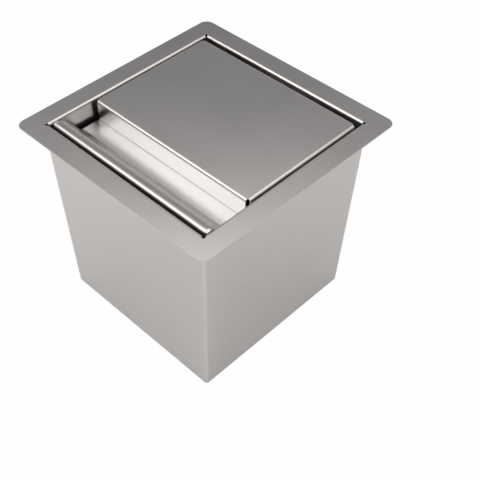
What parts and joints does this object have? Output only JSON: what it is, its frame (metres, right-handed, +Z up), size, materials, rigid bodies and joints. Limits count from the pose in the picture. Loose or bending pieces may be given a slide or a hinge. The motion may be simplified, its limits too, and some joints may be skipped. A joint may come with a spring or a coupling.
{
  "type": "countertop trash can",
  "caption": "Square built-in countertop trash can with a flush flanged rim, a tilting lid with a finger trough, and a tapered housing around a lift-out inner pail.",
  "frame": {"origin": "middle of the flat base", "axes": "+Z up out of the worktop, -Y towards the finger trough, +X along the trough to the right seen from the front"},
  "size_m": [0.25, 0.25, 0.213],
  "materials": {
    "brushed_stainless": "satin brushed stainless steel",
    "bracket_stainless": "mill finish stainless steel",
    "ground_rod": "ground steel",
    "seal_rubber": "soft black seal",
    "bumper_rubber": "black rubber",
    "nylon": "natural nylon",
    "pail_plastic": "moulded dark grey polypropylene"
  },
  "bodies": {
    "housing": {"rim_frame": "brushed_stainless", "housing_shell": "brushed_stainless", "floor_pan": "brushed_stainless", "rim_gasket": "seal_rubber", "left_pivot_bracket": "bracket_stainless", "right_pivot_bracket": "bracket_stainless", "rear_stop": "bracket_stainless", "left_stop_bumper": "bumper_rubber", "right_stop_bumper": "bumper_rubber"},
    "rod_bushes": {"left_rod_bush": "nylon", "right_rod_bush": "nylon"},
    "lid": {"lid_panel": "brushed_stainless", "finger_trough": "brushed_stainless", "left_trough_cheek": "brushed_stainless", "right_trough_cheek": "brushed_stainless", "pivot_rod": "ground_rod", "left_rod_lug": "bracket_stainless", "right_rod_lug": "bracket_stainless", "rod_clips": "ground_rod"},
    "pail": {"pail": "pail_plastic"}
  },
  "joints": [
    {"name": "lid_lift", "type": "slide", "parent": "housing", "child": "rod_bushes", "axis": [0, 0, 1], "range_m": [0, 0.225]},
    {"name": "lid_tilt", "type": "hinge", "parent": "rod_bushes", "child": "lid", "pos_m": [0, -0.022, 0.199], "axis": [1, 0, 0], "range_deg": [0, 55]},
    {"name": "pail_lift", "type": "slide", "parent": "housing", "child": "pail", "axis": [0, 0, 1], "range_m": [0, 0.225]}
  ],
  "couplings": [
    {"joint": "pail_lift", "follows": "lid_lift", "ratio": 1}
  ]
}
